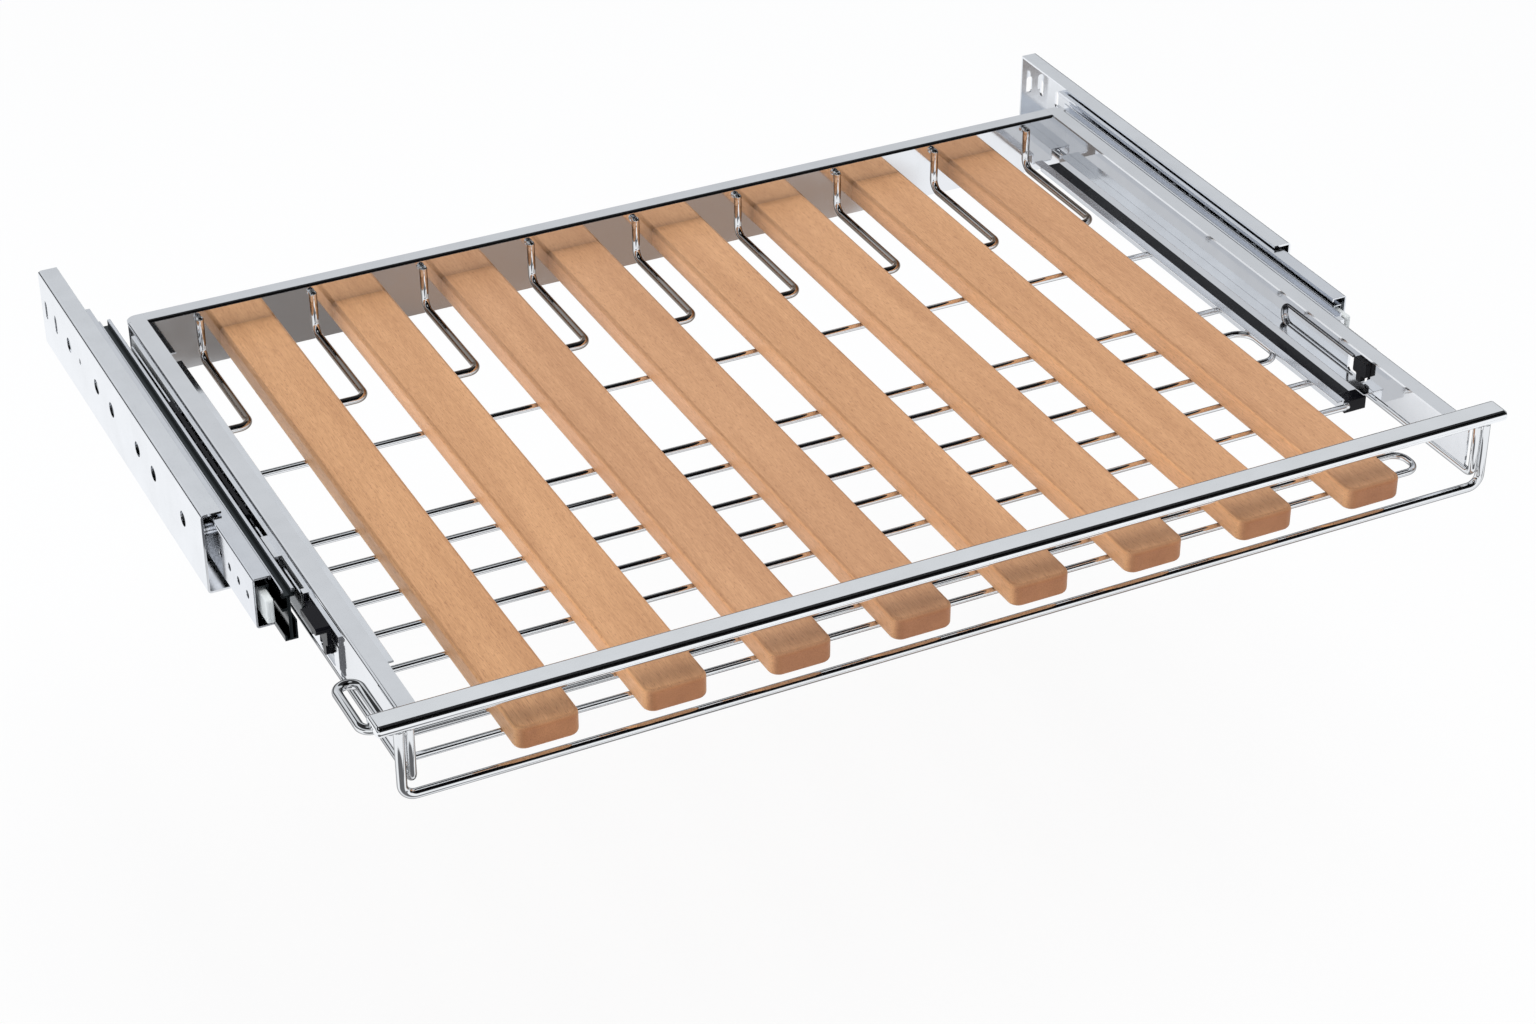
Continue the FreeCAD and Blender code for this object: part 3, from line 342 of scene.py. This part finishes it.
def beech():
    """Pale beech under clear lacquer, with short dark flecks along the grain."""
    material, tree, shader = new_material("lacquered_beech")
    coords = tree.nodes.new("ShaderNodeTexCoord")
    board = tree.nodes.new("ShaderNodeAttribute")
    board.attribute_name = "board"
    where = vectors(tree, "ADD", coords.outputs["Object"], board.outputs["Vector"])
    bands = vectors(tree, "MULTIPLY", where, (60, 4, 60))
    broad = add(tree, "ShaderNodeTexNoise", Vector=bands, Scale=1.0, Detail=4.0, Roughness=0.6,
                Distortion=0.4)
    colour = ramp(tree, broad.outputs["Fac"], [(0.32, (0.60, 0.325, 0.165)),
                                               (0.70, (0.72, 0.410, 0.215))])
    fine = fleck_layer(tree, where, 2600, 110, 0.35, 0.75)
    grain = ramp(tree, fine, [(0.0, (0.72, 0.66, 0.60)), (1.0, (1.06, 1.05, 1.04))])
    colour = mix_colours(tree, 0.60, colour, grain, "MULTIPLY")
    flecks = maths(tree, "MULTIPLY", fleck_layer(tree, where, 2200, 260, 0.60, 0.68), 0.50)
    colour = mix_colours(tree, flecks, colour, (0.30, 0.125, 0.055))
    # Boards differ a little in tone, from honey to a pinker brown
    own = add(tree, "ShaderNodeSeparateXYZ", Vector=board.outputs["Vector"])
    chance = maths(tree, "FRACT", own.outputs["X"])
    tone = ramp(tree, chance, [(0.0, (1.04, 1.02, 0.98)), (1.0, (0.95, 0.93, 0.95))])
    colour = mix_colours(tree, 1.0, colour, tone, "MULTIPLY")
    # A thin darker line is painted along the eased top edges where they slope: painted shade.
    facing = facing_of(tree)
    painted_edge_shade = (0.88, 0.88 * 0.97, 0.88 * 0.94)
    line = ramp(tree, facing["Z"], [(0.72, (1, 1, 1)), (0.86, painted_edge_shade), (0.97, painted_edge_shade),
                                    (0.995, (1.0, 0.97, 0.94)), (1.0, (1, 1, 1))])
    colour = mix_colours(tree, 1.0, colour, line, "MULTIPLY")
    # The long sides that face left are painted paler than the tops: painted light.
    left_side_painted_light = remap(tree, facing["X"], -0.55, -0.90)
    colour = mix_colours(tree, left_side_painted_light, colour, (1.42, 1.42, 1.34), "MULTIPLY")
    # The sawn front end drinks more lacquer and is redder and darker
    end = remap(tree, facing["Y"], -0.45, -0.95)
    colour = mix_colours(tree, end, colour, (0.80, 0.62, 0.50), "MULTIPLY")
    put(tree, shader["Base Color"], colour)
    put(tree, shader["Roughness"], remap(tree, fine, 0.0, 1.0, 0.52, 0.40))
    bump = add(tree, "ShaderNodeBump", Strength=0.12, Distance=0.0002, Height=fine)
    put(tree, shader["Normal"], bump.outputs["Normal"])
    return material


tree, given = new_tree("row_of_slats", ("Count", "Int"), ("Pitch", "Float"), ("Seed", "Int"),
                       ("Finish", "Material"))
pitches = maths(tree, "MULTIPLY", maths(tree, "SUBTRACT", 1.0, given["Count"]), 0.5)
start = add(tree, "ShaderNodeCombineXYZ", X=maths(tree, "MULTIPLY", pitches, given["Pitch"]))
step = add(tree, "ShaderNodeCombineXYZ", X=given["Pitch"])
row = add(tree, "GeometryNodeMeshLine", Count=given["Count"], Start_Location=start.outputs[0],
          Offset=step.outputs[0])
copies = add(tree, "GeometryNodeInstanceOnPoints", Points=row.outputs[0], Instance=given["Geometry"])
tones = add(tree, "FunctionNodeRandomValue", Seed=given["Seed"])
tones.data_type = "FLOAT_VECTOR"
tones.inputs["Max"].default_value = (7, 3, 5)
marked = add(tree, "GeometryNodeStoreNamedAttribute", Geometry=copies.outputs[0], Name="board")
marked.data_type = "FLOAT_VECTOR"
marked.domain = "INSTANCE"
put(tree, marked.inputs["Value"], tones.outputs[0])
finish_tree(tree, marked.outputs[0], given["Finish"])
slats = run_tree(tree, one_slat(), Count=SLAT_COUNT, Pitch=SLAT_PITCH * MM, Seed=4, Finish=beech())
new_piece("slats", evened(slats), nodes=["slat_%d" % (i + 1) for i in range(SLAT_COUNT)])

# Bent wires: bright chrome over steel rod, cut to length, bent cold on a former and
# welded to each other, to the rails and to the panel before plating. The U under the
# bar is 6 mm thick, the hooks 5.4 mm, the side rods 5 mm and the cross wires 4.4 mm.


def metal_marks():
    """Faint smudges and fine rubbing marks, for any plated metal here."""
    tree = bpy.data.node_groups.new("metal_marks", "ShaderNodeTree")
    for label, way, kind in (("Vector", "INPUT", "Vector"), ("Along", "INPUT", "Vector"),
                             ("Smudge", "OUTPUT", "Float"), ("Rub", "OUTPUT", "Float")):
        tree.interface.new_socket(label, in_out=way, socket_type="NodeSocket" + kind)
    given = tree.nodes.new("NodeGroupInput").outputs
    cloud = add(tree, "ShaderNodeTexNoise", Vector=given["Vector"], Scale=28.0, Detail=5.0, Roughness=0.65)
    drawn = vectors(tree, "MULTIPLY", given["Vector"], given["Along"])
    lines = add(tree, "ShaderNodeTexNoise", Vector=drawn, Scale=1.0, Detail=3.0, Roughness=0.6)
    add(tree, "NodeGroupOutput", Smudge=remap(tree, cloud.outputs["Fac"], 0.35, 0.75),
        Rub=lines.outputs["Fac"])
    return tree


marks = metal_marks()


def plated(name, colour, smooth, rough, along, depth):
    """A plated metal. Its gloss runs from smooth to rough with the smudges, along says how
    close the rubbing marks lie in X, Y and Z, and depth how far they stand out."""
    material, tree, shader = new_material(name)
    shader["Metallic"].default_value = 1.0
    coords = tree.nodes.new("ShaderNodeTexCoord")
    group = tree.nodes.new("ShaderNodeGroup")
    group.node_tree = marks
    put(tree, group.inputs["Vector"], coords.outputs["Object"])
    put(tree, group.inputs["Along"], along)
    smudge, rub = group.outputs
    smudged = tuple(c * 0.93 for c in colour)
    put(tree, shader["Base Color"], mix_colours(tree, smudge, colour, smudged))
    worn = maths(tree, "MULTIPLY", smudge, rub)
    put(tree, shader["Roughness"], remap(tree, worn, 0.0, 1.0, smooth, rough))
    bump = add(tree, "ShaderNodeBump", Strength=depth, Distance=0.0001, Height=rub)
    put(tree, shader["Normal"], bump.outputs["Normal"])
    return material


def place_of(tree):
    """The surface's own coordinates, split into X, Y and Z."""
    coords = tree.nodes.new("ShaderNodeTexCoord")
    return add(tree, "ShaderNodeSeparateXYZ", Vector=coords.outputs["Object"]).outputs


def overlaid(tree, mask, colour):
    """Lays a colour over the main shader's own, where the mask is one."""
    base = tree.nodes["Principled BSDF"].inputs["Base Color"]
    put(tree, base, mix_colours(tree, mask, base.links[0].from_socket, colour))


def chrome_with_painted_rims(name, start, end, colour):
    """Chrome for round wires, with a line of colour painted along both sides: a painted reflection of their
    surroundings.
    The line's colour sets in between start and end, where one is the wire's very edge."""
    material = plated(name, (0.90, 0.91, 0.92), 0.04, 0.12, (300, 300, 300), 0.0)
    tree = material.node_tree
    slant = add(tree, "ShaderNodeLayerWeight", Blend=0.5)
    overlaid(tree, remap(tree, slant.outputs["Facing"], start, end), colour)
    return material


# Painted dark reflection lines along the sides of the wires and the weld beads
chrome = chrome_with_painted_rims("bright_chrome", 0.42, 0.70, (0.15, 0.15, 0.155))
# The hooks' sides are painted brown, a painted reflection of the slats around them
hook_chrome_painted_brown = chrome_with_painted_rims("chrome_between_slats", 0.16, 0.50, (0.17, 0.125, 0.09))

wire_tree, given = new_tree("bent_wire", ("Radius", "Float"), ("Bend", "Float"), ("Finish", "Material"))
line = add(wire_tree, "GeometryNodeMeshToCurve", Mesh=given["Geometry"])
bent = add(wire_tree, "GeometryNodeFilletCurve", Curve=line.outputs[0], Radius=given["Bend"])
bent.mode = "POLY"
bent.inputs["Limit Radius"].default_value = True
bent.inputs["Count"].default_value = 12
ring = add(wire_tree, "GeometryNodeCurvePrimitiveCircle", Resolution=24, Radius=given["Radius"])
tube = add(wire_tree, "GeometryNodeCurveToMesh", Curve=bent.outputs[0], Profile_Curve=ring.outputs[0],
           Fill_Caps=True)
finish_tree(wire_tree, tube.outputs[0], given["Finish"])


def wire(name, routes, radius, bend, nodes=(), finish=chrome):
    """One piece made of wires. Each route is the corners of a wire before bending."""
    mesh = bpy.data.meshes.new(name)
    points, edges = [], []
    for route in routes:
        edges += [(len(points) + i, len(points) + i + 1) for i in range(len(route) - 1)]
        points += [at(*p) for p in route]
    mesh.from_pydata(points, edges, [])
    made = run_tree(wire_tree, mesh, Radius=radius * MM, Bend=bend * MM, Finish=finish)
    bm = bmesh.new()
    bm.from_mesh(made)
    rims = [e for e in bm.edges if e.is_manifold and e.calc_face_angle() > 1.2]
    bmesh.ops.bevel(bm, geom=rims, offset=radius * 0.28 * MM, segments=2, profile=0.5, affect="EDGES")
    bm.to_mesh(made)
    bm.free()
    for face in made.polygons:
        face.use_smooth = True
    made.set_sharp_from_angle(angle=math.radians(50))
    return new_piece(name, made, nodes=nodes)


SIDES = (("left", -1), ("right", 1))
RAIL_OUT, RAIL_TOP, RAIL_MID, WALL = 350, 16.6, 349.25, 325
U_X, U_Y, U_Z, U_RADIUS = 355.6, -488, -27.6, 3.0
wire("front_u_wire", [[(-U_X, U_Y, RAIL_TOP), (-U_X, U_Y, U_Z), (U_X, U_Y, U_Z), (U_X, U_Y, RAIL_TOP)]],
     U_RADIUS, 8, ["front_wire"])
ROD_Z, ROD_RADIUS = -18.1, 2.5
for name, side in SIDES:
    x = side * RAIL_MID
    wire("under_rod_" + name, [[(x, 0, ROD_Z), (x, U_Y, ROD_Z), (x, U_Y, RAIL_TOP)]], ROD_RADIUS, 5,
         ["side_rod_" + name])
CROSS_Z, CROSS_RADIUS = -17.2, 2.2
STRAIGHT_YS, MIDDLE_YS, FRONT_YS = (-157, -245, -352, -388), (-277, -317), (-449, -470)


def hairpin(start, end, ys):
    """The corners of a wire that runs out from the left, turns at its end and runs back."""
    return [(-start, ys[0], CROSS_Z), (end, ys[0], CROSS_Z), (end, ys[1], CROSS_Z),
            (-start, ys[1], CROSS_Z)]


wire("straight_cross_wires", [[(-WALL, y, CROSS_Z), (WALL, y, CROSS_Z)] for y in STRAIGHT_YS],
     CROSS_RADIUS, 1, ["cross_wires"])
end = WALL - CROSS_RADIUS
wire("middle_hairpin", [hairpin(WALL, end, MIDDLE_YS)], CROSS_RADIUS, 12, ["hairpin_wire_middle"])
wire("front_hairpin", [hairpin(RAIL_MID - ROD_RADIUS, end, FRONT_YS)], CROSS_RADIUS, 9,
     ["hairpin_wire_front"])
HOOK_COUNT, HOOK_RADIUS, HOOK_TOP, HOOK_FRONT, HOOK_TURN, HOOK_ASIDE = 9, 2.7, 12, -97, 30, 13.5
PLUG_INNER = 317
hooks = []
for i in range(HOOK_COUNT):
    x = SLAT_PITCH * (i - (SLAT_COUNT - 1) / 2) - SLAT_WIDTH / 2 - HOOK_ASIDE
    tip = x - HOOK_TURN
    if i == 0:
        tip = -WALL
    if i == HOOK_COUNT - 1:
        x = PLUG_INNER - HOOK_RADIUS - 0.5
    low = -SLAT_THICK - HOOK_RADIUS
    hooks.append([(x, -HOOK_RADIUS, HOOK_TOP), (x, -HOOK_RADIUS, low), (x, HOOK_FRONT, low),
                  (tip, HOOK_FRONT, low)])
hook_row = wire("panel_hooks", hooks, HOOK_RADIUS, 8, ["rear_hook_%d" % (i + 1) for i in range(HOOK_COUNT)],
                hook_chrome_painted_brown)
# The real panel doesn't mirror the hooks
hook_row.visible_glossy = False
BAR_Y = -483.5
NEAR, FAR, LOOP_BACK, LOOP_FRONT, LOOP_RADIUS = -358, -371.6, -432, -477, 3.0
level = RAIL_TOP - LOOP_RADIUS
wire("left_loop", [[(NEAR, BAR_Y, level), (NEAR, LOOP_BACK, level), (FAR, LOOP_BACK, level),
                    (FAR, LOOP_FRONT, level), (NEAR - 3.3, LOOP_FRONT, level)]], LOOP_RADIUS, 6.7,
     ["corner_loop"])

# Rack frame: rails and rear panel folded from 1.5 mm sheet and a flattened tube as the
# front bar, all welded and bright chromed. Folding leaves small round edges, and these
# mirror the lamps as thin white lines.


def eased(name, node, finish, slot, body, width, steps=2):
    """A copy of the CAD node with its sharp edges broken, as deburred sheet has them."""
    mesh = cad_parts[node].data.copy()
    bm = bmesh.new()
    bm.from_mesh(mesh)
    bmesh.ops.remove_doubles(bm, verts=bm.verts, dist=0.00002)
    bmesh.ops.dissolve_limit(bm, angle_limit=math.radians(1.5), verts=bm.verts, edges=bm.edges)
    for face in bm.faces:
        face.smooth = True
    bm.to_mesh(mesh)
    bm.free()
    mesh.materials.clear()
    mesh.materials.append(finish)
    return new_piece(name, evened(mesh, width, steps), body, [node])


NONE, ALL = (0, 0, 0), (1, 1, 1)
rail_sheet = plated("chromed_rail_sheet", (0.88, 0.89, 0.91), 0.06, 0.16, (60, 6, 60), 0.02)
tree = rail_sheet.node_tree
# The flange's cut edge is rounded, and its two arrises are painted black: painted dark reflections.
place, facing = place_of(tree), facing_of(tree)
edge = remap(tree, maths(tree, "ABSOLUTE", place["X"]), 0.3396, 0.3392)
painted_dark_arris = ramp(tree, facing["Z"], [(0.20, NONE), (0.35, ALL), (0.95, ALL), (0.985, NONE)])
overlaid(tree, maths(tree, "MULTIPLY", edge, painted_dark_arris), (0.06, 0.06, 0.065))
for side, _ in SIDES:
    eased("rail_" + side, "side_rail_" + side, rail_sheet, "chrome", "rack", 0.6, 3)
# A thin bright emission line is painted on the lower part of the panel's fold: a painted highlight of the
# white sweep.
panel_sheet = plated("chromed_panel_sheet", (0.88, 0.89, 0.91), 0.06, 0.16, (6, 60, 60), 0.02)
tree = panel_sheet.node_tree
facing = facing_of(tree)
band = ramp(tree, facing["Z"], [(0.04, NONE), (0.08, ALL), (0.44, ALL), (0.50, NONE)])
painted_glint = maths(tree, "MULTIPLY", band, remap(tree, facing["Y"], -0.75, -0.85))
glow = add(tree, "ShaderNodeEmission", Color=(0.90, 0.90, 0.90, 1))
with_painted_glint = mix_shaders(tree, painted_glint, tree.nodes["Principled BSDF"], glow)
put(tree, tree.nodes["Material Output"].inputs["Surface"], with_painted_glint.outputs[0])
eased("panel", "rear_panel", panel_sheet, "chrome", "rack", 0.3)
bar_chrome = plated("bar_chrome", (0.97, 0.98, 0.99), 0.05, 0.14, (6, 60, 60), 0.02)
eased("bar", "front_bar", bar_chrome, "chrome", "rack", 2.2, 5)

# Window rims: the punch that cuts each rail's window turns its edge a little inwards, so
# a low bright bead runs around the opening on the rail's inner side.
WINDOW_FRONT, WINDOW_BACK, WINDOW_MID, WINDOW_HALF = -361, -280.5, -6.9, 7.3
RIM_IN, RIM_RADIUS, RIM_BEND = 1.6, 1.1, 6.6
# The bead's sides are painted black, a painted dark reflection
rim_chrome = chrome_with_painted_rims("chrome_window_rim", 0.08, 0.40, (0.03, 0.03, 0.035))
for name, side in SIDES:
    x = side * (RAIL_OUT - RIM_IN)
    high, low = WINDOW_MID + WINDOW_HALF, WINDOW_MID - WINDOW_HALF
    wire("window_rim_" + name, [[(x, WINDOW_FRONT, high), (x, WINDOW_BACK, high), (x, WINDOW_BACK, low),
                                 (x, WINDOW_FRONT, low)]], RIM_RADIUS, RIM_BEND, finish=rim_chrome)

# Weld beads: the wires, the bar and the panel are joined by spot and arc welds, which
# stand out as small uneven drops of metal under the plating.
bead_tree, given = new_tree("weld_beads", ("Radius", "Float"), ("Seed", "Int"), ("Finish", "Material"))
drop = add(bead_tree, "GeometryNodeMeshIcoSphere", Radius=given["Radius"], Subdivisions=4)
lump = add(bead_tree, "ShaderNodeTexNoise", Scale=700.0, Detail=2.0)
push = maths(bead_tree, "SUBTRACT", maths(bead_tree, "MULTIPLY", lump.outputs["Fac"], 0.0014), 0.0007)
outward = bead_tree.nodes.new("GeometryNodeInputNormal")
uneven = add(bead_tree, "GeometryNodeSetPosition", Geometry=drop.outputs[0],
             Offset=vectors(bead_tree, "MULTIPLY", outward.outputs[0], push))
turned = add(bead_tree, "FunctionNodeRandomValue", Seed=given["Seed"])
turned.data_type = "FLOAT_VECTOR"
turned.inputs["Max"].default_value = (3, 3, 3)
spots = add(bead_tree, "GeometryNodeInstanceOnPoints", Points=given["Geometry"],
            Instance=uneven.outputs[0], Rotation=turned.outputs[0])
even = add(bead_tree, "GeometryNodeSetShadeSmooth", Geometry=spots.outputs[0])
finish_tree(bead_tree, even.outputs[0], given["Finish"])


def beads(name, places, radius, seed):
    """One piece made of weld beads, one at each place."""
    mesh = bpy.data.meshes.new(name)
    mesh.from_pydata([at(*p) for p in places], [], [])
    new_piece(name, run_tree(bead_tree, mesh, Radius=radius * MM, Seed=seed, Finish=chrome))


beads("leg_welds", [(side * (U_X - 3.2), U_Y + 1, RAIL_TOP - 2.4) for _, side in SIDES], 2.6, 1)
WELDED_YS = sorted(STRAIGHT_YS + MIDDLE_YS, reverse=True)
beads("wire_welds", [(side * (WALL + 0.5), y, CROSS_Z + 0.6) for _, side in SIDES for y in WELDED_YS],
      2.3, 2)
beads("hook_welds", [(hook[0][0], -2.2, HOOK_TOP - 1.4) for hook in hooks], 2.7, 3)

# Slides and brackets: zinc plated sheet steel, pressed and folded, screwed or riveted
# to each other. The brackets screw to the cabinet's sides. The slide's middle member
# runs between two rows of balls, and the plate on the rail runs on the inner row.
zinc = plated("bright_zinc", (0.92, 0.935, 0.96), 0.10, 0.24, (400, 8, 400), 0.05)
zinc_painted_shade = plated("zinc_with_painted_shade", (0.84, 0.86, 0.90), 0.10, 0.24, (400, 8, 400), 0.05)
tree = zinc_painted_shade.node_tree
# The thin rims at the top are left bright, and painted shade darkens what lies below them, on a
# darker copy of the zinc. The right beam's tray is left without the painted shade.
place = place_of(tree)
rim = remap(tree, place["Z"], 0.0465, 0.0482)
tray = remap(tree, place["Z"], 0.0438, 0.0442)
right_tray_unshaded = maths(tree, "MULTIPLY", tray, remap(tree, place["X"], -0.01, 0.01))
painted_shade = maths(tree, "SUBTRACT", 1.0, maths(tree, "MAXIMUM", rim, right_tray_unshaded))
overlaid(tree, painted_shade, (0.035, 0.042, 0.045))
# The channel's outer face lies in the bracket's shadow and looks black through its holes
shaded = plated("shaded_zinc", (0.84, 0.86, 0.90), 0.10, 0.24, (400, 8, 400), 0.05)
tree = shaded.node_tree
place, facing = place_of(tree), facing_of(tree)
outer = remap(tree, maths(tree, "MULTIPLY", place["X"], facing["X"]), 0.30, 0.34)
behind = remap(tree, place["Y"], -0.034, -0.024)
overlaid(tree, maths(tree, "MULTIPLY", outer, behind), (0.02, 0.022, 0.025))
for side, _ in SIDES:
    eased("bracket_" + side, "cabinet_bracket_" + side, zinc, "zinc_steel", "cabinet", 0.3)
    eased("channel_" + side, "cabinet_channel_" + side, shaded, "zinc_steel", "cabinet", 0.25)
    eased("spacers_" + side, "channel_spacers_" + side, zinc, "zinc_steel", "cabinet", 0.2)
    eased("beam_" + side, "intermediate_beam_" + side, zinc_painted_shade, "zinc_steel", "beam_" + side, 0.2)
    eased("plate_" + side, "slide_plate_" + side, zinc, "zinc_steel", "rack", 0.15)
    eased("carrier_" + side, "carrier_channel_" + side, zinc, "zinc_steel", "rack", 0.25)
    eased("outer_row_cage_" + side, "outer_cage_" + side, zinc, "zinc_steel", "outer_ball_row_" + side, 0.1)
    eased("lever_rivet_" + side, "lever_pin_" + side, zinc, "zinc_steel", "rack", 0.3)

# Plastic parts: black moulded levers, plugs and ball strips, and a pale nose in the end
# of each middle member. All come from polished moulds with a slight orange peel.


def moulded(name, colour, rough, shine):
    """A moulded plastic, glossy where its cloudy haze is thin."""
    material, tree, shader = new_material(name)
    coords = tree.nodes.new("ShaderNodeTexCoord")
    peel = add(tree, "ShaderNodeTexNoise", Vector=coords.outputs["Object"], Scale=900.0, Detail=3.0)
    cloud = add(tree, "ShaderNodeTexNoise", Vector=coords.outputs["Object"], Scale=60.0, Detail=4.0)
    paler = tuple(c * 1.5 + 0.001 for c in colour)
    put(tree, shader["Base Color"], mix_colours(tree, cloud.outputs["Fac"], colour, paler))
    gloss = remap(tree, cloud.outputs["Fac"], 0.0, 1.0, rough - 0.08, rough + 0.12)
    put(tree, shader["Roughness"], gloss)
    bump = add(tree, "ShaderNodeBump", Strength=0.08, Distance=0.0001, Height=peel.outputs["Fac"])
    put(tree, shader["Normal"], bump.outputs["Normal"])
    shader["Specular IOR Level"].default_value = shine
    return material


black = moulded("black_moulding", (0.003, 0.003, 0.005), 0.26, 0.16)
strip_black = moulded("black_strip", (0.003, 0.003, 0.005), 0.26, 0.16)
tree = strip_black.node_tree
# In mirror images, such as the rail's bright web, this black strip shows a pale grey emission: a painted
# reflection.
ray = tree.nodes.new("ShaderNodeLightPath")
painted_pale_reflection = add(tree, "ShaderNodeEmission", Color=(0.58, 0.595, 0.62, 1))
black_with_painted_reflection = mix_shaders(tree, ray.outputs["Is Glossy Ray"], tree.nodes["Principled BSDF"], painted_pale_reflection)
put(tree, tree.nodes["Material Output"].inputs["Surface"], black_with_painted_reflection.outputs[0])
pale = moulded("pale_moulding", (0.60, 0.63, 0.63), 0.30, 0.5)
for side, _ in SIDES:
    eased("lever_" + side, "release_lever_" + side, black, "black_plastic", "lever_" + side, 0.35)
    eased("plug_" + side, "channel_plug_" + side, strip_black, "black_plastic", "rack", 0.35)
    eased("ball_strip_" + side, "inner_cage_" + side, black, "black_plastic", "inner_ball_row_" + side, 0.1)
    eased("nose_" + side, "beam_nose_" + side, pale, "light_plastic", "beam_" + side, 1.2, 4)

# Balls: hard polished steel, sixteen in each outer row and fourteen in each inner one,
# held apart by their cages.
ball_metal = plated("polished_ball", (0.80, 0.81, 0.83), 0.04, 0.09, (300, 300, 300), 0.0)
for side, _ in SIDES:
    for row in ("outer", "inner"):
        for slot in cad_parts["%s_balls_%s" % (row, side)].material_slots:
            slot.material = ball_metal

# Screws behind the panel: zinc plated pan heads with a cross recess, two for each slat,
# driven through the panel into the slat's end.
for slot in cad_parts["slat_screws"].material_slots:
    slot.material = zinc
